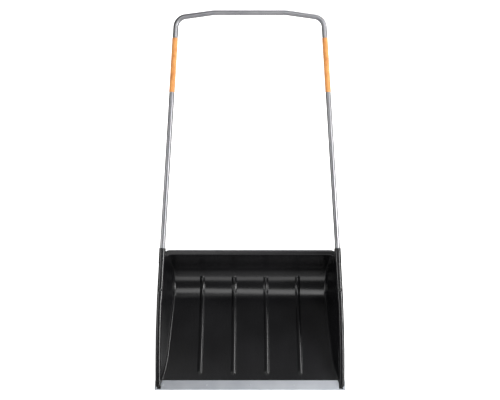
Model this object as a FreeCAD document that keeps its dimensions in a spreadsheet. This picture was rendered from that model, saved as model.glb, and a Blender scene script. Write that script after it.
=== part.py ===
import FreeCAD, Part
import math
import os

import Sketcher

Vector = FreeCAD.Vector

# A wheeled snow shovel: a moulded tray with a metal cutting edge, a bent tube handle and two small wheels
# behind the back wall. X runs across the tray, -Y is the cutting edge, +Z is up. The origin is on the ground,
# in the middle of the flat underside of the tray's floor.
#
# The tray is drawn in "scoop coordinates": y is the distance behind the cutting edge and z the height above
# the ground. SCOOP, below, moves them into the part's own frame.

DIMENSIONS = {
    # tray
    "origin_setback": 225,
    "floor_thickness": 6,
    "wall_thickness": 4.5,
    "floor_front_setback": 4,
    "floor_half_rear": 301,
    "floor_half_middle": 317.5,
    "floor_middle_setback": 150,
    "floor_half_front": 348,
    "back_foot_setback": 491.7,
    "back_lean_angle": 8.5,
    "back_curve_radius": 95,
    "back_corner_radius_low": 9,
    "back_corner_radius_high": 48,
    "cavity_height": 250,
    "cavity_half_top_rear": 333,
    "cavity_half_top_front": 425,
    # rim, lip and sockets
    "rim_angle": 27,
    "rim_start_setback": 20,
    "rim_radius": 10.5,
    "rim_end_gap": 30,
    "rim_half_front": 347,
    "rim_half_middle": 347.3,
    "rim_middle_setback": 254,
    "rim_tip_setback": 20,
    "lip_half_length": 338.8,
    "lip_width": 18,
    "lip_thickness": 4,
    "lip_hem_depth": 11,
    "lip_side_length": 60,
    "lip_corner_radius": 30,
    "lip_outer_radius": 6,
    "lip_inner_bevel": 1.8,
    "socket_half_mouth": 336.8,
    "socket_setback": 480,
    "socket_radius": 11.6,
    "socket_collar_radius": 12.5,
    "socket_collar_length": 56,
    "socket_depth": 190,
    "socket_end_wall": 6,
    "socket_toe_angle": 2.4,
    "socket_bolt_depth": 160,
    # floor ribs
    "rib_pitch": 128,
    "rib_front_setback": 67,
    "rib_radius": 10.2,
    "rib_height": 5,
    "rib_climb_share": 0.53,
    "rib_foot_radius": 3,
    # cutting edge
    "edge_width": 720,
    "edge_top_flap": 38,
    "edge_bottom_flap": 32,
    "edge_sheet": 1.2,
    "edge_recess": 0.7,
    "edge_side_gap": 1,
    "edge_nose_radius": 2.2,
    "rivet_pitch": 165,
    "rivet_setback": 20,
    "rivet_radius": 2.4,
    "rivet_head_radius": 3.8,
    "rivet_head_height": 1.1,
    # handle
    "tube_radius": 9.6,
    "tube_wall": 1.5,
    "tube_fit_gap": 0.05,
    "handle_angle": 36,
    "handle_toe_angle": 3.76,
    "neck_rise": 26,
    "neck_bend_radius": 150,
    "leg_rise": 853,
    "shoulder_radius": 42,
    "bar_half_flat": 135,
    "bar_crown": 20,
    "bar_bend_radius": 90,
    "grip_start": 574,
    "grip_length": 205,
    "grip_wall": 0.9,
    "grip_end_bevel": 0.55,
    # handle screws and plugs
    "screw_radius": 2.5,
    "screw_length": 15,
    "screw_head_radius": 4.6,
    "screw_head_height": 2.6,
    "screw_recess_radius": 1.6,
    "screw_recess_depth": 2,
    "screw_seat_radius": 6.4,
    "screw_seat_height": 12.2,
    "plug_length": 48,
    "plug_bevel": 1,
    # wheels
    "wheel_radius": 40,
    "wheel_width": 26,
    "wheel_half_track": 250,
    "wheel_setback": 534,
    "tyre_bore_radius": 31,
    "tyre_shoulder": 4,
    "hub_rim_radius": 27,
    "hub_web": 6,
    "hub_boss_radius": 13,
    "hub_hole_radius": 4.5,
    "hub_bore_radius": 8,
    "bush_flange_radius": 11,
    "bush_flange": 1.5,
    "bush_length": 11,
    "axle_radius": 5,
    "axle_running_gap": 0.06,
    "axle_fit_gap": 0.05,
    "axle_head_radius": 8,
    "axle_head": 3,
    "axle_tail": 4,
    "axle_bevel": 1,
    "axle_groove_radius": 4.1,
    "axle_groove_width": 1.1,
    "axle_groove_gap": 0.2,
    "clip_radius": 8,
    "clip_thickness": 1,
    "clip_mouth_half": 2.9,
    "thrust_washer_radius": 10,
    "thrust_washer_thickness": 1.2,
    "thrust_washer_gap": 0.1,
    # wheel forks
    "fork_inside_half": 16,
    "fork_sheet": 2.5,
    "fork_flange": 18,
    "fork_top": 150,
    "fork_bottom": 80,
    "fork_nose_radius": 11,
    "fork_boss_height": 6,
    "fork_boss_radius": 7,
    "fork_pilot_depth_in_wall": 1.5,
    "fork_screw_offset": 27.5,
    "fork_screw_edge": 12,
    "fork_screw_radius": 2,
    "fork_screw_length": 10,
    "fork_screw_head_radius": 4,
    "fork_screw_head": 2.4,
}


def make_sheet(doc):
    sheet = doc.addObject("Spreadsheet::Sheet", "dims")
    for row, (name, value) in enumerate(DIMENSIONS.items(), start=1):
        sheet.set("A%d" % row, name)
        sheet.set("B%d" % row, str(value))
        sheet.setAlias("B%d" % row, name)
    doc.recompute()
    return sheet


def sine(degrees):
    return math.sin(math.radians(degrees))


def cosine(degrees):
    return math.cos(math.radians(degrees))


def tangent(degrees):
    return math.tan(math.radians(degrees))


# Geometry that several sub-parts share. Every function takes d, the sheet's values by name.

def wall_setback(d, height, outward):
    """Setback of the back wall's inner face, moved outward, at a height above the ground."""
    drop = (height - d["floor_thickness"]) * tangent(d["back_lean_angle"])
    return d["back_foot_setback"] + outward / cosine(d["back_lean_angle"]) - drop


def rim_point(d, half_width, setback):
    """Point of the inclined plane that holds both side rims and the lip."""
    rise = (setback - d["rim_start_setback"]) * tangent(d["rim_angle"])
    return Vector(half_width, setback, d["floor_thickness"] + rise)


def rim_normal(d):
    return Vector(0, -sine(d["rim_angle"]), cosine(d["rim_angle"]))


def inclined_direction(toe_angle, climb_angle):
    """Unit vector that climbs to the rear and leans towards the middle of the object."""
    along = cosine(toe_angle)
    return Vector(-sine(toe_angle), along * cosine(climb_angle), along * sine(climb_angle))


def socket_mouth(d):
    return rim_point(d, d["socket_half_mouth"], d["socket_setback"])


def socket_direction(d):
    return inclined_direction(d["socket_toe_angle"], d["rim_angle"])


def leg_direction(d):
    return inclined_direction(d["handle_toe_angle"], d["handle_angle"])


def leg_start(d):
    return socket_mouth(d) + socket_direction(d) * d["neck_rise"]


def screw_point(d):
    """Where the handle screw crosses the tube's centre line, inside the socket."""
    return socket_mouth(d) - socket_direction(d) * d["socket_bolt_depth"]


def mirrored(shape):
    return shape.mirror(Vector(0, 0, 0), Vector(1, 0, 0))


def rounded_edges(points, radii):
    """Straight edges through the points, with a tangent arc at each inner point."""
    edges = []
    start = points[0]
    for before, corner, after, radius in zip(points, points[1:], points[2:], radii):
        arriving = (corner - before).normalize()
        leaving = (after - corner).normalize()
        half_turn = arriving.getAngle(leaving) / 2
        first = corner - arriving * (radius * math.tan(half_turn))
        last = corner + leaving * (radius * math.tan(half_turn))
        inward = (leaving - arriving).normalize()
        middle = corner + inward * (radius / math.cos(half_turn) - radius)
        edges.append(Part.LineSegment(start, first).toShape())
        edges.append(Part.Arc(first, middle, last).toShape())
        start = last
    edges.append(Part.LineSegment(start, points[-1]).toShape())
    return edges


def swept_tube(edges, radius):
    path = Part.Wire(edges)
    start = edges[0].valueAt(edges[0].FirstParameter)
    heading = edges[0].tangentAt(edges[0].FirstParameter)
    section = Part.Wire(Part.makeCircle(radius, start, heading))
    return path.makePipeShell([section], True, False)


# Tray

# Construction solids end well outside the tray, and past the middle where the two halves meet.
FRONT = -60
REAR = 560
PAST_MIDDLE = -50


def side_outline(d, height, rear_half, middle_half, front_half, flared):
    """Plan of half a tray: flared sides end in an arc at the front, others run straight."""
    middle = d["floor_middle_setback"]
    slope = (middle_half - rear_half) / (middle - d["back_foot_setback"])
    rear_corner = Vector(middle_half + slope * (REAR - middle), REAR, height)
    bend = Vector(middle_half, middle, height)
    front_corner = Vector(front_half, 0, height)
    if flared:
        heading = (bend - rear_corner).normalize()
        chord = front_corner - bend
        outward = Vector(-heading.y, heading.x, 0)
        radius = chord.Length ** 2 / (2 * chord.dot(outward))
        centre = bend + outward * radius
        halfway = centre + ((bend + front_corner) * 0.5 - centre).normalize() * radius
        front_edge = Part.Arc(bend, halfway, front_corner).toShape()
    else:
        front_edge = Part.LineSegment(bend, front_corner).toShape()
    closing = [
        front_corner,
        Vector(front_half, FRONT, height),
        Vector(PAST_MIDDLE, FRONT, height),
        Vector(PAST_MIDDLE, REAR, height),
        rear_corner,
    ]
    edges = [Part.LineSegment(rear_corner, bend).toShape(), front_edge]
    edges += [Part.LineSegment(a, b).toShape() for a, b in zip(closing, closing[1:])]
    return Part.Wire(edges)


def tray_side_block(d, outward, bottom):
    """Half of the space between the flaring side walls, moved outward by a wall's thickness."""
    low = side_outline(d, bottom, d["floor_half_rear"] + outward, d["floor_half_middle"] + outward,
                       d["floor_half_front"] + outward, True)
    flare = d["cavity_half_top_front"] - d["cavity_half_top_rear"]
    middle_half = d["cavity_half_top_front"] - flare * d["floor_middle_setback"] / d["back_foot_setback"]
    top = d["floor_thickness"] + d["cavity_height"]
    high = side_outline(d, top, d["cavity_half_top_rear"] + outward, middle_half + outward,
                        d["cavity_half_top_front"] + outward, False)
    return Part.makeLoft([low, high], True, True)


def profile_corners(d, half_width, down, outward):
    """Corners of the tray's side profile: front, foot of the back wall, crest.

    The floor is moved down, and the back wall outward, from the inner surface.
    """
    low = d["floor_thickness"] - down
    top = d["floor_thickness"] + d["cavity_height"]
    return [
        Vector(half_width, FRONT, low),
        Vector(half_width, wall_setback(d, low, outward), low),
        Vector(half_width, wall_setback(d, top, outward), top),
    ]


def tray_block(d, outward, bottom):
    """Half of a solid tray, with a curved foot to the back wall and rounded rear corners."""
    top = d["floor_thickness"] + d["cavity_height"]
    down = d["floor_thickness"] - bottom
    corners = profile_corners(d, 0, down, outward)
    edges = rounded_edges(corners, [d["back_curve_radius"] + outward])
    front_high = Vector(0, FRONT, top)
    edges.append(Part.LineSegment(corners[-1], front_high).toShape())
    edges.append(Part.LineSegment(front_high, corners[0]).toShape())
    profile = Part.Face(Part.Wire(edges)).extrude(Vector(REAR, 0, 0))
    block = profile.common(tray_side_block(d, outward, bottom)).removeSplitter()
    corner = upright_corner_edge(d, block)
    low_radius = d["back_corner_radius_low"] + outward
    high_radius = d["back_corner_radius_high"] + outward
    return block.makeFillet(low_radius, high_radius, [corner])


def upright_corner_edge(d, block):
    """Edge between the back wall and the side wall."""
    for edge in block.Edges:
        box = edge.BoundBox
        tall = box.ZMax > d["cavity_height"] and box.ZMin < d["cavity_height"] / 2
        if tall and box.XMin > d["floor_half_rear"] / 2 and box.YMin > d["floor_middle_setback"]:
            return edge
    raise RuntimeError("the tray has no upright corner edge")


def above_rim_plane(d):
    """Everything over the inclined plane of the rims, to cut the tray's walls with."""
    start = rim_point(d, 0, d["rim_start_setback"])
    end = rim_point(d, 0, REAR)
    corners = [
        Vector(0, FRONT - 1, start.z),
        start,
        end,
        Vector(0, REAR, end.z + REAR),
        Vector(0, FRONT - 1, end.z + REAR),
    ]
    profile = Part.Face(Part.makePolygon(corners + corners[:1]))
    return profile.extrude(Vector(REAR, 0, 0))


def tray_shell(d, cavity, solid_tray):
    shell = solid_tray.cut(cavity).cut(above_rim_plane(d))
    front = Part.makeBox(REAR, -FRONT + d["floor_front_setback"], REAR, Vector(0, FRONT, 0))
    return shell.cut(front)


def side_rim(d):
    """Rounded bead along a side wall, from its tip on the cutting edge up to the socket."""
    tip = rim_point(d, d["rim_half_front"], d["rim_tip_setback"])
    middle = rim_point(d, d["rim_half_middle"], d["rim_middle_setback"])
    rear = socket_mouth(d) - socket_direction(d) * d["rim_end_gap"]
    bead = swept_tube([Part.Arc(tip, middle, rear).toShape()], d["rim_radius"])
    bead = bead.fuse(Part.makeSphere(d["rim_radius"], tip))
    flap_top = d["floor_thickness"] - d["edge_recess"]
    over_edge = Part.makeBox(REAR, -FRONT + d["edge_top_flap"], REAR, Vector(0, FRONT, flap_top - REAR))
    under_ground = Part.makeBox(REAR, REAR, REAR, Vector(0, 0, -REAR))
    return bead.cut(over_edge).cut(under_ground)


def lip_outline(d, inset):
    """Half of the lip's outer outline, in the plane of the rims."""
    inner_setback = rim_plane_setback(d)
    width = (d["lip_width"] - inset) * cosine(d["rim_angle"])
    half = d["lip_half_length"] - inset
    front = inner_setback - d["lip_side_length"]
    corners = [
        rim_point(d, half, front),
        rim_point(d, half, inner_setback + width),
        rim_point(d, 0, inner_setback + width),
    ]
    edges = rounded_edges(corners, [d["lip_corner_radius"] - inset])
    edges.append(Part.LineSegment(corners[2], rim_point(d, 0, front)).toShape())
    edges.append(Part.LineSegment(rim_point(d, 0, front), corners[0]).toShape())
    return Part.Face(Part.Wire(edges))


def rim_plane_setback(d):
    """Setback at which the back wall's inner face meets the plane of the rims."""
    lean = tangent(d["back_lean_angle"])
    climb = tangent(d["rim_angle"])
    return (d["back_foot_setback"] + d["rim_start_setback"] * climb * lean) / (1 + climb * lean)


def in_rim_plane(d, edge):
    start = rim_point(d, 0, d["rim_start_setback"])
    return all(abs((vertex.Point - start).dot(rim_normal(d))) < 0.01 for vertex in edge.Vertexes)


def lip(d, cavity):
    """Flange round the back of the opening, with a rounded outer edge and a turned-down hem."""
    normal = rim_normal(d)
    flange = lip_outline(d, 0).extrude(normal * -d["lip_hem_depth"])
    front = rim_plane_setback(d) - d["lip_side_length"]
    outer_edges = [
        edge
        for edge in flange.Edges
        if in_rim_plane(d, edge) and edge.BoundBox.XMax > 1 and edge.BoundBox.YMax > front + 1
    ]
    flange = flange.makeFillet(d["lip_outer_radius"], outer_edges)
    hollow = lip_outline(d, d["lip_thickness"]).extrude(normal * -d["lip_hem_depth"])
    hollow.translate(normal * -d["lip_thickness"])
    return flange.cut(hollow).cut(cavity)


def rib_foot_edges(d, shape, half_width):
    """Edges along which a rib meets the floor and the foot of the back wall."""
    reach = d["rib_radius"] + 1
    return [
        edge
        for edge in shape.Edges
        if abs(edge.BoundBox.Center.x - half_width) < reach
        and edge.BoundBox.XLength < 2 * reach
        and edge.BoundBox.ZMin > d["floor_thickness"] - 1
    ]


def mouth_edges(d, shape, cavity):
    """Edges along which the lip meets the inside of the back wall and of its corner."""
    found = []
    for edge in shape.Edges:
        middle = edge.valueAt((edge.FirstParameter + edge.LastParameter) / 2)
        behind = middle.y > rim_plane_setback(d) - d["lip_side_length"] / 2
        if behind and in_rim_plane(d, edge) and cavity.distToShape(Part.Vertex(middle))[0] < 0.01:
            found.append(edge)
    return found


def socket(d):
    """Sleeve for the tube's end, with a collar at its mouth and a flat seat for the screw."""
    down = socket_direction(d) * -1
    length = d["socket_depth"] + d["socket_end_wall"]
    sleeve = Part.makeCylinder(d["socket_radius"], length, socket_mouth(d), down)
    collar = Part.makeCylinder(d["socket_collar_radius"], d["socket_collar_length"], socket_mouth(d), down)
    seat = Part.makeCylinder(d["screw_seat_radius"], d["screw_seat_height"], screw_point(d), rim_normal(d))
    return sleeve.fuse([collar, seat])


def socket_bore(d):
    down = socket_direction(d) * -1
    radius = d["tube_radius"] + d["tube_fit_gap"]
    bore = Part.makeCylinder(radius, d["socket_depth"], socket_mouth(d), down)
    hole = Part.makeCylinder(d["screw_radius"], 2 * radius, screw_point(d), rim_normal(d))
    return bore.fuse(hole)


def floor_rib(d, half_width, solid_tray):
    """Half-round rib that runs along the floor and a little way up the back wall's curve."""
    sunk = d["rib_radius"] - d["rib_height"]
    corners = profile_corners(d, half_width, sunk, sunk)
    corners[0].y = d["rib_front_setback"] + d["rib_height"]
    floor, curve = rounded_edges(corners, [d["back_curve_radius"] + sunk])[:2]
    turned = (curve.LastParameter - curve.FirstParameter) * d["rib_climb_share"]
    climb = curve.Curve.toShape(curve.FirstParameter, curve.FirstParameter + turned)
    rib = swept_tube([floor, climb], d["rib_radius"])
    for end in (corners[0], climb.valueAt(climb.LastParameter)):
        rib = rib.fuse(Part.makeSphere(d["rib_radius"], end))
    return rib.common(solid_tray)


def fork_seat(d, across, height, outward):
    """Point behind the right wheel's stretch of the back wall, measured square to the wall's inner face."""
    on_wall = Vector(d["wheel_half_track"] + across, wall_setback(d, height, 0), height)
    return on_wall + fork_normal(d) * outward


def fork_normal(d):
    return Vector(0, cosine(d["back_lean_angle"]), sine(d["back_lean_angle"]))


def fork_screw_places(d):
    heights = (d["fork_bottom"] + d["fork_screw_edge"], d["fork_top"] - d["fork_screw_edge"])
    return [(side * d["fork_screw_offset"], height) for height in heights for side in (-1, 1)]


def fork_bosses(d):
    """Four bosses with pilot holes behind the back wall, for one wheel fork."""
    bosses = []
    holes = []
    for across, height in fork_screw_places(d):
        base = fork_seat(d, across, height, d["wall_thickness"] / 2)
        length = d["wall_thickness"] / 2 + d["fork_boss_height"]
        bosses.append(Part.makeCylinder(d["fork_boss_radius"], length, base, fork_normal(d)))
        base = fork_seat(d, across, height, d["wall_thickness"] - d["fork_pilot_depth_in_wall"])
        holes.append(Part.makeCylinder(d["fork_screw_radius"], 2 * length, base, fork_normal(d)))
    return bosses, holes


def edge_pocket(d):
    """Room for the cutting edge, above and below the floor's front tongue."""
    half = d["edge_width"] / 2 + d["edge_side_gap"]
    flap_top = d["floor_thickness"] - d["edge_recess"]
    tongue_top = flap_top - d["edge_sheet"]
    upper_depth = d["edge_top_flap"] - FRONT
    lower_depth = d["edge_bottom_flap"] - FRONT
    upper = Part.makeBox(half, upper_depth, d["edge_sheet"], Vector(0, FRONT, tongue_top))
    lower = Part.makeBox(half, lower_depth, d["edge_sheet"], Vector(0, FRONT, 0))
    open_half = d["rim_half_front"] - d["rim_radius"]
    step = Part.makeBox(open_half, upper_depth, 2 * d["edge_recess"], Vector(0, FRONT, flap_top))
    pocket = upper.fuse([lower, step])
    for setting in rivet_places(d):
        pocket = pocket.fuse(Part.makeCylinder(d["rivet_radius"], d["floor_thickness"], setting))
    return pocket


def rivet_places(d):
    return [Vector(step * d["rivet_pitch"], d["rivet_setback"], 0) for step in range(-2, 3)]


def scoop_shape(d):
    cavity = tray_block(d, 0, d["floor_thickness"])
    solid_tray = tray_block(d, d["wall_thickness"], 0)
    rib_places = (0.5 * d["rib_pitch"], 1.5 * d["rib_pitch"])
    ribs = [floor_rib(d, half_width, solid_tray) for half_width in rib_places]
    bosses, holes = fork_bosses(d)
    half = tray_shell(d, cavity, solid_tray)
    for shape in [side_rim(d), socket(d), lip(d, cavity)] + ribs + bosses:
        half = half.fuse(shape)
    for shape in [edge_pocket(d), socket_bore(d)] + holes:
        half = half.cut(shape)
    half = half.removeSplitter()
    for half_width in rib_places:
        half = half.makeFillet(d["rib_foot_radius"], rib_foot_edges(d, half, half_width))
    scoop = half.fuse(mirrored(half)).removeSplitter()
    return scoop.makeChamfer(d["lip_inner_bevel"], mouth_edges(d, scoop, cavity))


# Handle

def handle_corners(d):
    """Corners of the tube's centre line, from the right tube end over the top bar to the left one."""
    mouth = socket_mouth(d)
    tube_end = mouth - socket_direction(d) * d["socket_depth"]
    neck = leg_start(d)
    shoulder = neck + leg_direction(d) * (d["leg_rise"] / cosine(d["handle_toe_angle"]))
    bar_rise = d["leg_rise"] + d["bar_crown"]
    upward = Vector(0, cosine(d["handle_angle"]), sine(d["handle_angle"]))
    bar_end = Vector(d["bar_half_flat"], neck.y, neck.z) + upward * bar_rise
    right = [tube_end, neck, shoulder, bar_end]
    left = [Vector(-corner.x, corner.y, corner.z) for corner in reversed(right)]
    return right + left


def handle_tube_shape(d):
    right_radii = [d["neck_bend_radius"], d["shoulder_radius"], d["bar_bend_radius"]]
    edges = rounded_edges(handle_corners(d), right_radii + right_radii[::-1])
    tube = swept_tube(edges, d["tube_radius"])
    tube = tube.cut(swept_tube(edges, d["tube_radius"] - d["tube_wall"]))
    screw_hole = Part.makeCylinder(d["screw_radius"], 2 * d["tube_radius"], screw_point(d), rim_normal(d))
    return tube.cut(screw_hole).cut(mirrored(screw_hole))


# Parametric sub-parts

def feature(doc, name, shape):
    part = doc.addObject("Part::Feature", name)
    part.Shape = shape
    return part


def new_body(doc, name):
    return doc.addObject("PartDesign::Body", name)


def sketch_on(body, role, name):
    sketch = body.newObject("Sketcher::SketchObject", name)
    plane = next(item for item in body.Origin.OriginFeatures if item.Role == role)
    sketch.AttachmentSupport = [(plane, "")]
    sketch.MapMode = "FlatFace"
    return sketch


def outline(sketch, sheet, corners):
    """Closed outline through corners given as pairs of expressions on the sheet."""
    places = [[float(sheet.evalExpression(term)) for term in corner] for corner in corners]
    count = len(corners)
    for index in range(count):
        start = Vector(*places[index])
        end = Vector(*places[(index + 1) % count])
        sketch.addGeometry(Part.LineSegment(start, end))
    for index in range(count):
        sketch.addConstraint(Sketcher.Constraint("Coincident", index, 2, (index + 1) % count, 1))
    for index, corner in enumerate(corners):
        for kind, term, place in zip(("DistanceX", "DistanceY"), corner, places[index]):
            number = sketch.addConstraint(Sketcher.Constraint(kind, -1, 1, index, 1, place))
            sketch.setExpression("Constraints[%d]" % number, term)


def circle(sketch, sheet, centre, radius):
    """Circle whose centre and radius are expressions on the sheet."""
    place = [float(sheet.evalExpression(term)) for term in centre]
    size = float(sheet.evalExpression(radius))
    index = sketch.addGeometry(Part.Circle(Vector(*place), Vector(0, 0, 1), size))
    for kind, term, value in zip(("DistanceX", "DistanceY"), centre, place):
        number = sketch.addConstraint(Sketcher.Constraint(kind, -1, 1, index, 3, value))
        sketch.setExpression("Constraints[%d]" % number, term)
    number = sketch.addConstraint(Sketcher.Constraint("Radius", index, size))
    sketch.setExpression("Constraints[%d]" % number, radius)


def revolved(doc, sheet, name, corners):
    """Body turned about its own X axis from an outline of (x, radius) pairs."""
    body = new_body(doc, name)
    sketch = sketch_on(body, "XY_Plane", name + "_profile")
    outline(sketch, sheet, corners)
    turn = body.newObject("PartDesign::Revolution", name + "_turn")
    turn.Profile = sketch
    turn.ReferenceAxis = (sketch, ["H_Axis"])
    turn.Angle = 360
    body.Tip = turn
    doc.recompute()
    return body


def pad(body, sketch, name, length, both_ways):
    """Pad whose length is an expression; both_ways puts half of it on each side."""
    feature_pad = body.newObject("PartDesign::Pad", name)
    feature_pad.Profile = sketch
    feature_pad.setExpression("Length", length)
    feature_pad.Midplane = both_ways
    body.Tip = feature_pad
    return feature_pad


def pocket(body, sketch, name):
    cut = body.newObject("PartDesign::Pocket", name)
    cut.Profile = sketch
    cut.Type = "ThroughAll"
    cut.Midplane = True
    body.Tip = cut
    return cut


def axis_placement(place, direction):
    """Placement that turns a body's own X axis into a direction."""
    return FreeCAD.Placement(place, FreeCAD.Rotation(Vector(1, 0, 0), direction))


def copies(doc, name, pattern, placements):
    """Group of equal solids, made from one pattern body."""
    solids = []
    for placement in placements:
        solid = pattern.Shape.copy()
        solid.Placement = placement
        solids.append(solid)
    return feature(doc, name, Part.makeCompound(solids))


def cutting_edge(doc, sheet, d):
    """Sheet folded round the floor's front tongue, riveted through."""
    body = new_body(doc, "cutting_edge")
    sketch = sketch_on(body, "YZ_Plane", "edge_profile")
    top = "dims.floor_thickness - dims.edge_recess"
    inner_top = top + " - dims.edge_sheet"
    outline(sketch, sheet, [
        ("0", "0"),
        ("dims.edge_bottom_flap", "0"),
        ("dims.edge_bottom_flap", "dims.edge_sheet"),
        ("dims.floor_front_setback", "dims.edge_sheet"),
        ("dims.floor_front_setback", inner_top),
        ("dims.edge_top_flap", inner_top),
        ("dims.edge_top_flap", top),
        ("0", top),
    ])
    fold = pad(body, sketch, "edge_fold", "dims.edge_width", True)
    doc.recompute()
    nose = [
        "Edge%d" % number
        for number, edge in enumerate(fold.Shape.Edges, start=1)
        if edge.Length > d["edge_width"] - 1 and edge.BoundBox.YMax < 0.01
    ]
    rounding = body.newObject("PartDesign::Fillet", "edge_nose")
    rounding.Base = (fold, nose)
    rounding.setExpression("Radius", "dims.edge_nose_radius")
    body.Tip = rounding
    doc.recompute()
    holes = sketch_on(body, "XY_Plane", "rivet_holes")
    for step in range(-2, 3):
        circle(holes, sheet, ("%d * dims.rivet_pitch" % step, "dims.rivet_setback"), "dims.rivet_radius")
    pocket(body, holes, "edge_rivet_holes")
    doc.recompute()
    return body


def edge_rivets(doc, sheet, d):
    head_start = "dims.floor_thickness - dims.edge_recess"
    pattern = revolved(doc, sheet, "rivet_pattern", [
        ("0", "0"),
        (head_start + " + dims.rivet_head_height", "0"),
        (head_start + " + dims.rivet_head_height", "dims.rivet_head_radius * 0.45"),
        (head_start + " + dims.rivet_head_height * 0.5", "dims.rivet_head_radius * 0.9"),
        (head_start, "dims.rivet_head_radius"),
        (head_start, "dims.rivet_radius"),
        ("0", "dims.rivet_radius"),
    ])
    upward = Vector(0, 0, 1)
    return copies(doc, "edge_rivets", pattern, [axis_placement(spot, upward) for spot in rivet_places(d)])


def grip(doc, sheet, d, name, side):
    """Sleeve with softened ends, pressed over a leg of the handle tube."""
    outer = "dims.tube_radius + dims.tube_fit_gap + dims.grip_wall"
    inner = "dims.tube_radius + dims.tube_fit_gap"
    body = revolved(doc, sheet, name, [
        ("0", inner),
        ("dims.grip_length", inner),
        ("dims.grip_length", outer + " - dims.grip_end_bevel"),
        ("dims.grip_length - dims.grip_wall", outer),
        ("dims.grip_wall", outer),
        ("0", outer + " - dims.grip_end_bevel"),
    ])
    place = leg_start(d) + leg_direction(d) * d["grip_start"]
    body.Placement = axis_placement(*sided(side, place, leg_direction(d)))
    return body


def sided(side, place, direction):
    """The same place and direction on the right (side 1) or on the left (side -1)."""
    return Vector(side * place.x, place.y, place.z), Vector(side * direction.x, direction.y, direction.z)


def tube_plug(doc, sheet, d, name, side):
    """Plastic plug in an open tube end, which the handle screw bites into."""
    body = revolved(doc, sheet, name, [
        ("0", "0"),
        ("dims.plug_length", "0"),
        ("dims.plug_length", "dims.tube_radius - dims.tube_wall - dims.plug_bevel"),
        ("dims.plug_length - dims.plug_bevel", "dims.tube_radius - dims.tube_wall"),
        ("0", "dims.tube_radius - dims.tube_wall"),
    ])
    place = socket_mouth(d) - socket_direction(d) * d["socket_depth"]
    body.Placement = axis_placement(*sided(side, place, socket_direction(d)))
    return body


def handle_screws(doc, sheet, d):
    """Pan-head screws through the sockets, the tube ends and the plugs."""
    seat = "dims.screw_seat_height"
    top = seat + " + dims.screw_head_height"
    pattern = revolved(doc, sheet, "handle_screw_pattern", [
        (top + " - dims.screw_length", "0"),
        (top + " - dims.screw_recess_depth", "0"),
        (top + " - dims.screw_recess_depth", "dims.screw_recess_radius"),
        (top, "dims.screw_recess_radius"),
        (seat + " + dims.screw_head_height * 0.85", "dims.screw_head_radius * 0.7"),
        (seat + " + dims.screw_head_height * 0.5", "dims.screw_head_radius"),
        (seat, "dims.screw_head_radius"),
        (seat, "dims.screw_radius"),
        (top + " - dims.screw_length", "dims.screw_radius"),
    ])
    return on_both_sides(doc, "handle_screws", pattern, screw_point(d), rim_normal(d))


def on_both_sides(doc, name, pattern, place, direction):
    return copies(doc, name, pattern, [axis_placement(*sided(side, place, direction)) for side in (1, -1)])


# Wheels

def wheel_centre(d, side):
    return Vector(side * d["wheel_half_track"], d["wheel_setback"], d["wheel_radius"])


def on_axle(d, side):
    """Placement on a wheel's axis; a body's own +X points away from the middle of the object."""
    return axis_placement(wheel_centre(d, side), Vector(side, 0, 0))


def tyre(doc, sheet, d, name, side):
    half = "dims.wheel_width / 2"
    body = revolved(doc, sheet, name, [
        ("-" + half, "dims.tyre_bore_radius"),
        (half, "dims.tyre_bore_radius"),
        (half, "dims.wheel_radius - dims.tyre_shoulder"),
        (half + " - dims.tyre_shoulder", "dims.wheel_radius"),
        ("dims.tyre_shoulder - " + half, "dims.wheel_radius"),
        ("-" + half, "dims.wheel_radius - dims.tyre_shoulder"),
    ])
    body.Placement = on_axle(d, side)
    return body


def wheel_hub(doc, sheet, d, name, side):
    """Moulded hub: a boss and a rim joined by a web with six round holes."""
    half = "dims.wheel_width / 2"
    web = "dims.hub_web / 2"
    body = revolved(doc, sheet, name, [
        ("-" + half, "dims.hub_bore_radius"),
        (half, "dims.hub_bore_radius"),
        (half, "dims.hub_boss_radius"),
        (web, "dims.hub_boss_radius"),
        (web, "dims.hub_rim_radius"),
        (half, "dims.hub_rim_radius"),
        (half, "dims.tyre_bore_radius"),
        ("-" + half, "dims.tyre_bore_radius"),
        ("-" + half, "dims.hub_rim_radius"),
        ("-" + web, "dims.hub_rim_radius"),
        ("-" + web, "dims.hub_boss_radius"),
        ("-" + half, "dims.hub_boss_radius"),
    ])
    sketch = sketch_on(body, "YZ_Plane", name + "_hole")
    middle = "(dims.hub_boss_radius + dims.hub_rim_radius) / 2"
    circle(sketch, sheet, ("0", middle), "dims.hub_hole_radius")
    hole = pocket(body, sketch, name + "_hole_cut")
    doc.recompute()
    ring = body.newObject("PartDesign::PolarPattern", name + "_holes")
    ring.Originals = [hole]
    ring.Axis = (sketch, ["N_Axis"])
    ring.Angle = 360
    ring.Occurrences = 6
    body.Tip = ring
    doc.recompute()
    body.Placement = on_axle(d, side)
    return body


def wheel_bush(doc, sheet, d, name, side, outer):
    """Flanged bush, pressed into one end of a hub and running on the axle pin."""
    half = "dims.wheel_width / 2"
    bore = "dims.axle_radius + dims.axle_running_gap"
    body = revolved(doc, sheet, name, [
        (half + " - dims.bush_length", bore),
        (half + " + dims.bush_flange", bore),
        (half + " + dims.bush_flange", "dims.bush_flange_radius"),
        (half, "dims.bush_flange_radius"),
        (half, "dims.hub_bore_radius"),
        (half + " - dims.bush_length", "dims.hub_bore_radius"),
    ])
    facing = side if outer else -side
    body.Placement = axis_placement(wheel_centre(d, side), Vector(facing, 0, 0))
    return body


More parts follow.
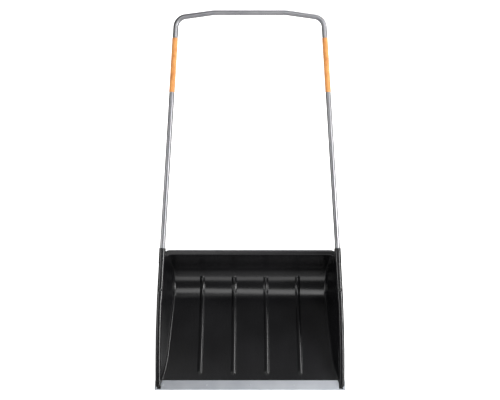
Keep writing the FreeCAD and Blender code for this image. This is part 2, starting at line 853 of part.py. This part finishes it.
def thrust_washers(doc, sheet, d):
    """Washers between the bushes and the cheeks of the forks."""
    start = "dims.wheel_width / 2 + dims.bush_flange + dims.thrust_washer_gap"
    bore = "dims.axle_radius + dims.axle_running_gap"
    pattern = revolved(doc, sheet, "thrust_washer_pattern", [
        (start, bore),
        (start + " + dims.thrust_washer_thickness", bore),
        (start + " + dims.thrust_washer_thickness", "dims.thrust_washer_radius"),
        (start, "dims.thrust_washer_radius"),
    ])
    placements = [
        axis_placement(wheel_centre(d, side), Vector(facing, 0, 0)) for side in (1, -1) for facing in (1, -1)
    ]
    return copies(doc, "thrust_washers", pattern, placements)


def axle_pin(doc, sheet, d, name, side):
    """Headed pin through a fork and its wheel, with a groove for the clip."""
    cheek = "dims.fork_inside_half + dims.fork_sheet"
    groove = "-(" + cheek + ") - dims.axle_groove_gap"
    tail = "-(" + cheek + ") - dims.axle_tail"
    body = revolved(doc, sheet, name, [
        (tail, "0"),
        (cheek + " + dims.axle_head", "0"),
        (cheek + " + dims.axle_head", "dims.axle_head_radius - dims.axle_bevel"),
        (cheek + " + dims.axle_head - dims.axle_bevel", "dims.axle_head_radius"),
        (cheek, "dims.axle_head_radius"),
        (cheek, "dims.axle_radius"),
        (groove, "dims.axle_radius"),
        (groove, "dims.axle_groove_radius"),
        (groove + " - dims.axle_groove_width", "dims.axle_groove_radius"),
        (groove + " - dims.axle_groove_width", "dims.axle_radius"),
        (tail + " + dims.axle_bevel", "dims.axle_radius"),
        (tail, "dims.axle_radius - dims.axle_bevel"),
    ])
    body.Placement = on_axle(d, side)
    return body


def axle_clip(doc, sheet, d, name, side):
    """Clip in the pin's groove: a ring with a mouth, so that it can be pushed on."""
    body = new_body(doc, name)
    ring = sketch_on(body, "YZ_Plane", name + "_ring")
    circle(ring, sheet, ("0", "0"), "dims.clip_radius")
    circle(ring, sheet, ("0", "0"), "dims.axle_groove_radius")
    pad(body, ring, name + "_plate", "dims.clip_thickness", True)
    doc.recompute()
    mouth = sketch_on(body, "YZ_Plane", name + "_mouth")
    outline(mouth, sheet, [
        ("-dims.clip_mouth_half", "0"),
        ("-dims.clip_mouth_half", "-2 * dims.clip_radius"),
        ("dims.clip_mouth_half", "-2 * dims.clip_radius"),
        ("dims.clip_mouth_half", "0"),
    ])
    pocket(body, mouth, name + "_opening")
    doc.recompute()
    offset = d["fork_inside_half"] + d["fork_sheet"] + d["axle_groove_gap"] + d["axle_groove_width"] / 2
    place = wheel_centre(d, side) - Vector(side * offset, 0, 0)
    body.Placement = axis_placement(place, Vector(side, 0, 0))
    return body


def fork_shape(d):
    """Right wheel fork: a plate on the bosses with two cheeks that reach down to the axle."""
    outward = d["wall_thickness"] + d["fork_boss_height"]
    sheet = d["fork_sheet"]
    normal = fork_normal(d)
    width = d["fork_inside_half"] + sheet + d["fork_flange"]
    corners = [
        fork_seat(d, across, height, outward)
        for across, height in (
            (-width, d["fork_bottom"]),
            (width, d["fork_bottom"]),
            (width, d["fork_top"]),
            (-width, d["fork_top"]),
        )
    ]
    plate = Part.Face(Part.makePolygon(corners + corners[:1])).extrude(normal * sheet)
    axle = wheel_centre(d, 1)
    top = fork_seat(d, 0, d["fork_top"], outward + sheet / 2)
    bottom = fork_seat(d, 0, d["fork_bottom"], outward + sheet / 2)
    nose = d["fork_nose_radius"]
    profile = cheek_profile(axle, top, bottom, nose)
    fork = plate
    for inner_face in (d["fork_inside_half"], -d["fork_inside_half"] - sheet):
        cheek = profile.copy()
        cheek.translate(Vector(inner_face, 0, 0))
        fork = fork.fuse(cheek.extrude(Vector(sheet, 0, 0)))
    pin_radius = d["axle_radius"] + d["axle_fit_gap"]
    fork = fork.cut(Part.makeCylinder(pin_radius, 2 * width, axle - Vector(width, 0, 0), Vector(1, 0, 0)))
    for across, height in fork_screw_places(d):
        hole = fork_seat(d, across, height, outward - sheet)
        fork = fork.cut(Part.makeCylinder(d["fork_screw_radius"], 3 * sheet, hole, normal))
    return fork.removeSplitter()


def cheek_profile(axle, top, bottom, nose):
    """Side view of a cheek: two straight edges that run tangent to a round nose."""
    def touch(point, turn):
        away = point - axle
        angle = math.atan2(away.z, away.y) + turn * math.acos(nose / away.Length)
        return axle + Vector(0, nose * math.cos(angle), nose * math.sin(angle))

    behind = touch(top, -1)
    ahead = touch(bottom, 1)
    tip = axle + ((axle - (top + bottom) * 0.5).normalize() * nose)
    edges = [
        Part.LineSegment(top, behind).toShape(),
        Part.Arc(behind, tip, ahead).toShape(),
        Part.LineSegment(ahead, bottom).toShape(),
        Part.LineSegment(bottom, top).toShape(),
    ]
    return Part.Face(Part.Wire(edges))


def fork_screws(doc, sheet, d):
    """Self-tapping screws that hold both forks to their bosses."""
    start = "-dims.fork_screw_length"
    pattern = revolved(doc, sheet, "fork_screw_pattern", [
        (start, "0"),
        ("dims.fork_screw_head", "0"),
        ("dims.fork_screw_head", "dims.fork_screw_head_radius * 0.6"),
        ("dims.fork_screw_head * 0.5", "dims.fork_screw_head_radius"),
        ("0", "dims.fork_screw_head_radius"),
        ("0", "dims.fork_screw_radius"),
        (start, "dims.fork_screw_radius"),
    ])
    outward = d["wall_thickness"] + d["fork_boss_height"] + d["fork_sheet"]
    placements = []
    for side in (1, -1):
        for across, height in fork_screw_places(d):
            place = fork_seat(d, across, height, outward)
            placements.append(axis_placement(*sided(side, place, fork_normal(d))))
    return copies(doc, "fork_screws", pattern, placements)


SIDES = (("right", 1), ("left", -1))


def build_parts(doc, sheet):
    d = {name: float(sheet.get(name)) for name in DIMENSIONS}
    parts = [
        feature(doc, "scoop", scoop_shape(d)),
        cutting_edge(doc, sheet, d),
        edge_rivets(doc, sheet, d),
        feature(doc, "handle_tube", handle_tube_shape(d)),
        handle_screws(doc, sheet, d),
        thrust_washers(doc, sheet, d),
        fork_screws(doc, sheet, d),
    ]
    fork = fork_shape(d)
    for name, side in SIDES:
        parts += [
            grip(doc, sheet, d, "grip_" + name, side),
            tube_plug(doc, sheet, d, "tube_plug_" + name, side),
            feature(doc, "wheel_fork_" + name, fork if side == 1 else mirrored(fork)),
            axle_pin(doc, sheet, d, "axle_pin_" + name, side),
            axle_clip(doc, sheet, d, "axle_clip_" + name, side),
            wheel_hub(doc, sheet, d, "wheel_hub_" + name, side),
            tyre(doc, sheet, d, "tyre_" + name, side),
            wheel_bush(doc, sheet, d, "bush_outer_" + name, side, True),
            wheel_bush(doc, sheet, d, "bush_inner_" + name, side, False),
        ]
    return parts


def set_in_frame(part, setback):
    """Move a sub-part from scoop coordinates to the part's own frame."""
    placement = part.Placement
    placement.Base = placement.Base - Vector(0, setback, 0)
    part.Placement = placement


def check(doc, parts):
    for item in doc.Objects:
        if "Invalid" in item.State or "Error" in item.State:
            raise RuntimeError("%s failed: %s" % (item.Label, item.State))
    for part in parts:
        if part.Shape.isNull() or not part.Shape.isValid():
            raise RuntimeError("%s has no valid shape" % part.Label)


def main():
    doc = FreeCAD.newDocument("wheeled_snow_shovel")
    sheet = make_sheet(doc)
    parts = build_parts(doc, sheet)
    for part in parts:
        part.Label = part.Name
        set_in_frame(part, float(sheet.get("origin_setback")))
    doc.recompute()
    check(doc, parts)
    os.makedirs("parts", exist_ok=True)
    for part in parts:
        part.Shape.exportStep("parts/%s.step" % part.Label)
        box = part.Shape.optimalBoundingBox()
        print("%-24s %10.0f mm3  solids %d  x %7.1f %7.1f  y %7.1f %7.1f  z %7.1f %7.1f" % (
            part.Label, part.Shape.Volume, len(part.Shape.Solids),
            box.XMin, box.XMax, box.YMin, box.YMax, box.ZMin, box.ZMax))


main()
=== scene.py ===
import math

import bmesh
import bpy
from mathutils import Matrix, Vector


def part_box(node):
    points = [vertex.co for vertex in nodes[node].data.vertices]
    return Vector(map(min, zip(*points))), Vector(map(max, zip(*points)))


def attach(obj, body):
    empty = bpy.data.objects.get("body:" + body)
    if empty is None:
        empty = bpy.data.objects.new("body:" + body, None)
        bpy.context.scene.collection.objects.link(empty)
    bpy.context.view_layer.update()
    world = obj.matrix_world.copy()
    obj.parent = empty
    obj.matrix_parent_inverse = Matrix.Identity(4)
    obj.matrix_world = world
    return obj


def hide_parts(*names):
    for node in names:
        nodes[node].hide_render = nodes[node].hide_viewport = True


# A wheeled snow shovel in a plain studio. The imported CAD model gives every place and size, in metres:
# X runs across the tray, -Y is the cutting edge, +Z is up and the floor lies at zero.

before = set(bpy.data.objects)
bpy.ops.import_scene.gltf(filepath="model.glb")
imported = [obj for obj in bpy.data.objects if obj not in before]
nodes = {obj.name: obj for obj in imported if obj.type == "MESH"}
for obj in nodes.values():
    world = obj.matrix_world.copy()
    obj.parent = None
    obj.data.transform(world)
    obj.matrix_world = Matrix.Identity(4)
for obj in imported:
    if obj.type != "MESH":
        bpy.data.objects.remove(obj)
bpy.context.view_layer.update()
SIDES = ("left", "right")


# Studio

VIEW_ELEVATION = math.radians(57)
VIEW_DISTANCE = 3.0
VIEW_TARGET = Vector((0.0, 0.3755, 0.396))
VIEW_LENS = 57.3
FLOOR_HALF_SIZE = 14
FLOOR_DROP = 0.0005
FLOOR_ALBEDO = 0.5
FLOOR_GLOW = 0.97
SKY_RADIUS = 13
SKY_ALBEDO = 0
SKY_GLOW = 1

# The sky hides the world from view, so the world only lights the object and shows in its reflections.
# It is dim, and brighter towards the low front.
LOW_FRONT = (0, -0.707, -0.707)
WORLD_DIM = 0.12
WORLD_BRIGHT = 1.2
BRIGHT_FROM = 0.3

# Each softbox: its place, the point that it faces, its width and depth, and its power in watts.
SOFTBOXES = {
    "overhead": ((0.2, -0.25, 3.3), (0, 0.2, 0.1), (2.4, 1.1), 33),
    "front": ((0, -3, 1.15), (0, 0.2, 0.1), (2.6, 1.1), 19),
    "strip": ((0.2, 0.45, 3.2), (0, 0.1, 0), (2.4, 0.35), 2.6),
    "back": ((0.6, 3, 1.5), (0, 0.2, 0.2), (2.4, 1), 55),
    "right": ((2.6, -0.8, 1.7), (0, 0.1, 0.1), (1.2, 1.2), 80),
    "left": ((-2.6, -0.6, 1.7), (0, 0.1, 0.1), (1.2, 1.2), 24),
    "right_rear": ((3, 1.2, 2.5), (0, 0.2, 0.1), (1.3, 1.3), 60),
}


def link(item):
    bpy.context.scene.collection.objects.link(item)
    return item


def make_camera():
    data = bpy.data.cameras.new("view")
    data.lens = VIEW_LENS
    camera = link(bpy.data.objects.new("view", data))
    back = Vector((0, -math.cos(VIEW_ELEVATION), math.sin(VIEW_ELEVATION)))
    camera.location = VIEW_TARGET + back * VIEW_DISTANCE
    camera.rotation_euler = (math.pi / 2 - VIEW_ELEVATION, 0, 0)
    bpy.context.scene.camera = camera


def stage_piece(name, mesh, albedo, glow):
    """Part of the pale surroundings, kept out of the object's reflections."""
    piece = link(bpy.data.objects.new(name, mesh))
    piece.visible_glossy = False
    material = bpy.data.materials.new(name)
    material.use_nodes = True
    shader = material.node_tree.nodes["Principled BSDF"]
    shader.inputs["Base Color"].default_value = (albedo, albedo, albedo, 1)
    shader.inputs["Roughness"].default_value = 0.9
    shader.inputs["Specular IOR Level"].default_value = 0.1
    shader.inputs["Emission Color"].default_value = (1, 1, 1, 1)
    shader.inputs["Emission Strength"].default_value = glow
    mesh.materials.append(material)
    return piece


def make_surroundings():
    half = FLOOR_HALF_SIZE
    mesh = bpy.data.meshes.new("floor")
    corners = [(-half, -half, 0), (half, -half, 0), (half, half, 0), (-half, half, 0)]
    mesh.from_pydata(corners, [], [(0, 1, 2, 3)])
    stage_piece("floor", mesh, FLOOR_ALBEDO, FLOOR_GLOW).location.z = -FLOOR_DROP
    ball = bmesh.new()
    bmesh.ops.create_uvsphere(ball, u_segments=48, v_segments=24, radius=SKY_RADIUS)
    mesh = bpy.data.meshes.new("sky")
    ball.to_mesh(mesh)
    ball.free()
    sky = stage_piece("sky", mesh, SKY_ALBEDO, SKY_GLOW)
    sky.visible_diffuse = False
    sky.visible_shadow = False


def softbox(name, place, target, size, power):
    data = bpy.data.lights.new(name, "AREA")
    data.shape = "RECTANGLE"
    data.size, data.size_y = size
    data.energy = power
    light = link(bpy.data.objects.new(name, data))
    light.location = place
    light.rotation_euler = (Vector(target) - Vector(place)).to_track_quat("-Z", "Y").to_euler()
    light.visible_camera = False


def make_lights():
    world = bpy.data.worlds.new("studio")
    bpy.context.scene.world = world
    world.use_nodes = True
    tree = world.node_tree
    background = tree.nodes["Background"]
    background.inputs["Color"].default_value = (1, 1, 1, 1)
    direction = tree.nodes.new("ShaderNodeTexCoord").outputs["Generated"]
    facing = node(tree, "VectorMath", {0: direction, 1: LOW_FRONT}, operation="DOT_PRODUCT").outputs["Value"]
    strength = remap(tree, facing, WORLD_DIM, WORLD_BRIGHT, BRIGHT_FROM, 1)
    connect(tree, background.inputs["Strength"], strength)
    for name, (place, target, size, power) in SOFTBOXES.items():
        softbox(name, place, target, size, power)


# Materials

def new_material(name):
    material = bpy.data.materials.new(name)
    material.use_nodes = True
    tree = material.node_tree
    return material, tree, tree.nodes["Principled BSDF"]


def node(tree, kind, inputs, **settings):
    """Shader node; each input is a plain value or another node's output."""
    made = tree.nodes.new("ShaderNode" + kind)
    for name, value in settings.items():
        setattr(made, name, value)
    for name, value in inputs.items():
        connect(tree, made.inputs[name], value)
    return made


def connect(tree, socket, value):
    if isinstance(value, bpy.types.NodeSocket):
        tree.links.new(value, socket)
    else:
        socket.default_value = value


def surface_place(tree, stretch=(1, 1, 1), tilt=0):
    """Coordinates fixed to the piece, in metres, tilted about X and then stretched."""
    place = tree.nodes.new("ShaderNodeTexCoord").outputs["Object"]
    turned = node(tree, "Mapping", {"Vector": place, "Rotation": (tilt, 0, 0)})
    scaled = node(tree, "Mapping", {"Vector": turned.outputs["Vector"], "Scale": stretch})
    return scaled.outputs["Vector"]


def noise(tree, place, scale, detail=3, roughness=0.5):
    return node(tree, "TexNoise", {"Vector": place, "Scale": scale, "Detail": detail,
                                   "Roughness": roughness}).outputs["Fac"]


def remap(tree, value, low, high, start=0.3, end=0.7):
    """The value's stretch from start to end, brought to the range from low to high."""
    return node(tree, "MapRange", {"Value": value, "From Min": start, "From Max": end,
                                   "To Min": low, "To Max": high}).outputs["Result"]


def mix_colors(tree, factor, first, second):
    mixer = tree.nodes.new("ShaderNodeMix")
    mixer.data_type = "RGBA"
    connect(tree, mixer.inputs[0], factor)
    for socket, color in ((mixer.inputs[6], first), (mixer.inputs[7], second)):
        connect(tree, socket, color if isinstance(color, bpy.types.NodeSocket) else (*color, 1))
    return mixer.outputs[2]


def bumps(tree, edge_radius, *layers):
    """Normal with edges rounded by a radius, under layers of (height, depth in metres)."""
    normal = node(tree, "Bevel", {"Radius": edge_radius}, samples=6).outputs["Normal"]
    for height, depth in layers:
        inputs = {"Height": height, "Distance": depth, "Strength": 1.0, "Normal": normal}
        normal = node(tree, "Bump", inputs).outputs["Normal"]
    return normal


def finish_shader(tree, shader, color, roughness, normal, **fixed):
    connect(tree, shader.inputs["Base Color"], color)
    connect(tree, shader.inputs["Roughness"], roughness)
    tree.links.new(normal, shader.inputs["Normal"])
    for name, value in fixed.items():
        shader.inputs[name.replace("_", " ")].default_value = value


def scoop_plastic():
    """Black moulded polypropylene: soft gloss, a fine grain and the slow waves of a moulding."""
    material, tree, shader = new_material("scoop_plastic")
    place = surface_place(tree)
    flow = noise(tree, place, 5, 2)
    specks = noise(tree, place, 420, 3, 0.6)
    color = mix_colors(tree, remap(tree, flow, 0, 1), (0.004, 0.004, 0.0045), (0.007, 0.007, 0.008))
    dusty = mix_colors(tree, remap(tree, specks, 0, 0.1, 0.6, 0.8), color, (0.04, 0.04, 0.042))
    gloss = remap(tree, flow, 0.19, 0.24)
    waves = noise(tree, place, 9, 0)
    grain = noise(tree, place, 350, 2)
    normal = bumps(tree, 0.0018, (waves, 0.0008), (grain, 0.000006))
    finish_shader(tree, shader, dusty, gloss, normal, IOR=1.5, Specular_IOR_Level=0.4)
    return material


def brushed_metal(name, light, dark, stretch, tilt, gloss):
    """Metal with fine drawing lines along one direction and a soft cloudiness."""
    material, tree, shader = new_material(name)
    lines = noise(tree, surface_place(tree, stretch=stretch, tilt=tilt), 1, 5, 0.6)
    clouds = noise(tree, surface_place(tree), 11, 3)
    tint = mix_colors(tree, remap(tree, clouds, 0, 1), dark, light)
    color = mix_colors(tree, remap(tree, lines, 0, 0.25), tint, dark)
    roughness = remap(tree, lines, gloss - 0.03, gloss + 0.04)
    normal = bumps(tree, 0.0003, (lines, 0.000002))
    finish_shader(tree, shader, color, roughness, normal, Metallic=1)
    return material


def grip_orange():
    """Orange sleeve with a slightly rough, blotchy skin."""
    material, tree, shader = new_material("grip_orange")
    blotches = noise(tree, surface_place(tree, stretch=(1, 0.45, 1), tilt=-LEG_ANGLE), 90, 4, 0.65)
    patches = remap(tree, blotches, 0, 1, 0.42, 0.66)
    color = mix_colors(tree, patches, (0.72, 0.31, 0.085), (0.52, 0.19, 0.045))
    grain = noise(tree, surface_place(tree), 1400, 2)
    normal = bumps(tree, 0.0003, (blotches, 0.00015), (grain, 0.00003))
    finish_shader(tree, shader, color, remap(tree, blotches, 0.5, 0.62), normal)
    return material


def moulded_plastic(name, light, dark, gloss):
    material, tree, shader = new_material(name)
    flow = noise(tree, surface_place(tree), 30, 2)
    grain = noise(tree, surface_place(tree), 1500, 2)
    color = mix_colors(tree, remap(tree, flow, 0, 1), dark, light)
    normal = bumps(tree, 0.0008, (grain, 0.00002))
    finish_shader(tree, shader, color, remap(tree, flow, gloss - 0.04, gloss + 0.05), normal)
    return material


# Directions of the CAD model: the handle's legs and the rim from the floor, the back wall from upright.
LEG_ANGLE = math.radians(36)
RIM_ANGLE = math.radians(27)
BACK_LEAN = math.radians(8.5)

# How tightly the drawing lines lie along X, Y and Z, per metre.
LINES_ALONG_LEG = (900, 12, 900)
LINES_ACROSS = (12, 900, 900)
NO_LINES = (300, 300, 300)

ALUMINIUM = brushed_metal("handle_aluminium", (0.31, 0.31, 0.32), (0.24, 0.24, 0.255),
                          LINES_ALONG_LEG, -LEG_ANGLE, 0.38)
EDGE = brushed_metal("edge_metal", (0.60, 0.62, 0.66), (0.49, 0.515, 0.56), LINES_ACROSS, 0, 0.32)
ZINC = brushed_metal("zinc_steel", (0.66, 0.66, 0.64), (0.46, 0.46, 0.46), NO_LINES, 0, 0.32)
BLACK_STEEL = brushed_metal("black_steel", (0.10, 0.10, 0.10), (0.05, 0.05, 0.05), NO_LINES, 0, 0.3)
SCOOP = scoop_plastic()
ORANGE = grip_orange()
HUB = moulded_plastic("hub_plastic", (0.030, 0.030, 0.032), (0.018, 0.018, 0.02), 0.42)
RUBBER = moulded_plastic("tyre_rubber", (0.022, 0.022, 0.022), (0.012, 0.012, 0.012), 0.7)
BUSH = moulded_plastic("bearing_plastic", (0.55, 0.53, 0.48), (0.45, 0.43, 0.39), 0.45)
FORK = moulded_plastic("fork_steel", (0.03, 0.03, 0.032), (0.02, 0.02, 0.02), 0.36)
PLUG = moulded_plastic("plug_plastic", (0.03, 0.03, 0.03), (0.02, 0.02, 0.02), 0.5)

NODE_LOOKS = {
    "scoop": SCOOP,
    "handle_tube": ALUMINIUM,
    "cutting_edge": EDGE,
    "thrust_washers": ZINC,
}
SIDED_LOOKS = {
    "grip": ORANGE,
    "tube_plug": PLUG,
    "wheel_fork": FORK,
    "axle_pin": ZINC,
    "axle_clip": ZINC,
    "wheel_hub": HUB,
    "bush_outer": BUSH,
    "bush_inner": BUSH,
}


def dress(name, material):
    slots = nodes[name].data.materials
    slots.clear()
    slots.append(material)


# Finer pieces, each in place of a plain CAD node. A lathe turns about its own X axis.

WELD_DISTANCE = 1e-7


def lathe(name, profile, segments, cut=None):
    """Mesh turned from a closed profile of (x, radius) points; cut tells how deep each point sinks."""
    made = bmesh.new()
    rings = []
    for step in range(segments):
        angle = 2 * math.pi * step / segments
        ring = []
        for along, radius in profile:
            depth = cut(step, along, radius) if cut else 0
            reach = radius - depth
            ring.append(made.verts.new((along, reach * math.cos(angle), reach * math.sin(angle))))
        rings.append(ring)
    count = len(profile)
    for ring, following in zip(rings, rings[1:] + rings[:1]):
        for index in range(count):
            after = (index + 1) % count
            made.faces.new((ring[index], ring[after], following[after], following[index]))
    bmesh.ops.remove_doubles(made, verts=made.verts, dist=WELD_DISTANCE)
    bmesh.ops.recalc_face_normals(made, faces=made.faces)
    mesh = bpy.data.meshes.new(name)
    made.to_mesh(mesh)
    made.free()
    return mesh


def place_piece(name, mesh, material, place, direction, body, slot, *replaced):
    """Object of the mesh with its X axis turned to a direction, riding on a body."""
    if not mesh.materials:
        mesh.materials.append(material)
    for polygon in mesh.polygons:
        polygon.use_smooth = True
    piece = link(bpy.data.objects.new(name, mesh))
    piece.matrix_world = Matrix.Translation(place) @ direction.to_track_quat("X", "Z").to_matrix().to_4x4()
    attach(piece, body)
    if replaced:
        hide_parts(*replaced)
    return piece


def arc_points(centre, radius, start, end, steps):
    """Points (x, radius) on an arc, angles in degrees from +X towards the outside."""
    angles = [math.radians(start + (end - start) * step / steps) for step in range(steps + 1)]
    return [(centre[0] + radius * math.cos(angle), centre[1] + radius * math.sin(angle)) for angle in angles]


TREAD_BLOCKS = 30
STEPS_PER_BLOCK = 6
GAP_STEPS = 2
TREAD_DEPTH = 0.0016
SHOULDER_RADIUS = 0.005
PLAIN_SHOULDER = 0.001
BEAD_CHAMFER = 0.001
CROWN_SHARES = (0.75, 0.5, 0.25, 0.12, 0.08)
GROOVE_SHARE = 0.1


def tyre_mesh(half_width, bore, radius):
    """Solid rubber tyre with two staggered rows of tread blocks round a middle groove."""
    crown = radius - SHOULDER_RADIUS
    side = half_width - SHOULDER_RADIUS
    right = arc_points((side, crown), SHOULDER_RADIUS, 0, 90, 6)
    outer = right + [(side * share, radius) for share in CROWN_SHARES]
    outer += [(-along, reach) for along, reach in reversed(outer)]
    beads = [(-half_width, bore + BEAD_CHAMFER), (-half_width + BEAD_CHAMFER, bore),
             (half_width - BEAD_CHAMFER, bore), (half_width, bore + BEAD_CHAMFER)]

    def tread(step, along, reach):
        if reach < crown + PLAIN_SHOULDER:
            return 0
        if abs(along) < side * GROOVE_SHARE:
            return TREAD_DEPTH
        shift = STEPS_PER_BLOCK // 2 if along > 0 else 0
        in_gap = (step + shift) % STEPS_PER_BLOCK < GAP_STEPS
        return TREAD_DEPTH if in_gap else 0

    return lathe("tyre", outer + beads, TREAD_BLOCKS * STEPS_PER_BLOCK, tread)


def add_tyres():
    for side in SIDES:
        low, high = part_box("tyre_" + side)
        hub_low, hub_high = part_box("wheel_hub_" + side)
        mesh = tyre_mesh((high.x - low.x) / 2, (hub_high.z - hub_low.z) / 2, (high.z - low.z) / 2)
        place_piece("treaded_tyre_" + side, mesh, RUBBER, (low + high) / 2, Vector((1, 0, 0)),
                    "wheel_" + side, "tyre_rubber", "tyre_" + side)


def clusters(name, reach):
    """The separate solids of a node, as groups of points within reach of each group's first."""
    groups = []
    for point in [vertex.co.copy() for vertex in nodes[name].data.vertices]:
        for group in groups:
            if (point - group[0]).length < reach:
                group.append(point)
                break
        else:
            groups.append([point])
    return groups


FLAT_TOLERANCE = 0.00001


def top_centre(points, direction):
    """Middle of the points that lie furthest along a direction."""
    furthest = max(point.dot(direction) for point in points)
    top = [point for point in points if point.dot(direction) > furthest - FLAT_TOLERANCE]
    return sum(top, Vector()) / len(top)


def domed_head(radius, height, shank_radius, shank, edge):
    """Profile of a headed fastener; its head's top is at x = 0 and the shank runs towards -X."""
    rise = height - edge
    ball = (radius * radius + rise * rise) / (2 * rise)
    sweep = math.degrees(math.asin(radius / ball))
    dome = arc_points((-ball, 0), ball, 0, sweep, 8)
    tip = -height - shank
    return dome + [(-height, radius), (-height, shank_radius), (tip, shank_radius), (tip, 0)]


RECESS_TAPER = 0.55


def cross_recess(mesh, width, reach, depth):
    """The mesh with a cross-shaped recess cut into its top, which narrows towards its bottom."""
    host = link(bpy.data.objects.new("recess_host", mesh))
    cutters = []
    for turn in (0, math.pi / 2):
        made = bmesh.new()
        bmesh.ops.create_cube(made, size=1)
        for vertex in made.verts:
            x, y, z = vertex.co
            taper = RECESS_TAPER if x < 0 else 1
            vertex.co = (x * 2 * depth, y * 2 * reach * taper, z * width * taper)
        bmesh.ops.rotate(made, verts=made.verts, matrix=Matrix.Rotation(turn, 3, "X"))
        blade = bpy.data.meshes.new("recess_blade")
        made.to_mesh(blade)
        made.free()
        cutter = link(bpy.data.objects.new("recess_cutter", blade))
        cut = host.modifiers.new("recess", "BOOLEAN")
        cut.object = cutter
        cut.operation = "DIFFERENCE"
        cut.solver = "EXACT"
        cutters.append(cutter)
    bpy.context.view_layer.update()
    recessed = bpy.data.meshes.new_from_object(host.evaluated_get(bpy.context.evaluated_depsgraph_get()))
    for item in [host] + cutters:
        bpy.data.objects.remove(item)
    return recessed


HEAD_SEGMENTS = 32
HANDLE_SCREW = {"radius": 0.0046, "height": 0.0026, "shank_radius": 0.0025, "shank": 0.0124, "edge": 0.0008}
HANDLE_RECESS = {"width": 0.0012, "reach": 0.0024, "depth": 0.0016}
HANDLE_SCREW_REACH = 0.03
FORK_SCREW = {"radius": 0.004, "height": 0.0024, "shank_radius": 0.002, "shank": 0.01, "edge": 0.0007}
FORK_RECESS = {"width": 0.0011, "reach": 0.0021, "depth": 0.0014}
FORK_SCREW_REACH = 0.02
RIVET = {"radius": 0.0038, "height": 0.0011, "shank_radius": 0.0024, "edge": 0.0002}
RIVET_REACH = 0.03


def add_handle_screws():
    outward = Vector((0, -math.sin(RIM_ANGLE), math.cos(RIM_ANGLE)))
    head = lathe("handle_screw", domed_head(**HANDLE_SCREW), HEAD_SEGMENTS)
    head = cross_recess(head, **HANDLE_RECESS)
    for points in clusters("handle_screws", HANDLE_SCREW_REACH):
        place = top_centre(points, outward)
        side = "right" if place.x > 0 else "left"
        place_piece("handle_screw_" + side, head, BLACK_STEEL, place, outward,
                    "frame", "zinc_steel", "handle_screws")


def add_fork_screws():
    outward = Vector((0, math.cos(BACK_LEAN), math.sin(BACK_LEAN)))
    head = lathe("fork_screw", domed_head(**FORK_SCREW), HEAD_SEGMENTS)
    head = cross_recess(head, **FORK_RECESS)
    for number, points in enumerate(clusters("fork_screws", FORK_SCREW_REACH), start=1):
        place_piece("fork_screw_%d" % number, head, ZINC, top_centre(points, outward), outward,
                    "frame", "zinc_steel", "fork_screws")


def add_rivets():
    """Domed rivets through the cutting edge and the floor's tongue."""
    upward = Vector((0, 0, 1))
    low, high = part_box("edge_rivets")
    shank = high.z - low.z - RIVET["height"]
    head = lathe("rivet", domed_head(shank=shank, **RIVET), HEAD_SEGMENTS)
    for number, points in enumerate(clusters("edge_rivets", RIVET_REACH), start=1):
        place_piece("edge_rivet_%d" % number, head, EDGE, top_centre(points, upward), upward,
                    "frame", "rivet_metal", "edge_rivets")


bpy.context.scene.view_settings.view_transform = "Standard"
make_camera()
make_surroundings()
make_lights()
for name, material in NODE_LOOKS.items():
    dress(name, material)
for name, material in SIDED_LOOKS.items():
    for side in SIDES:
        dress(name + "_" + side, material)

add_tyres()
add_handle_screws()
add_fork_screws()
add_rivets()
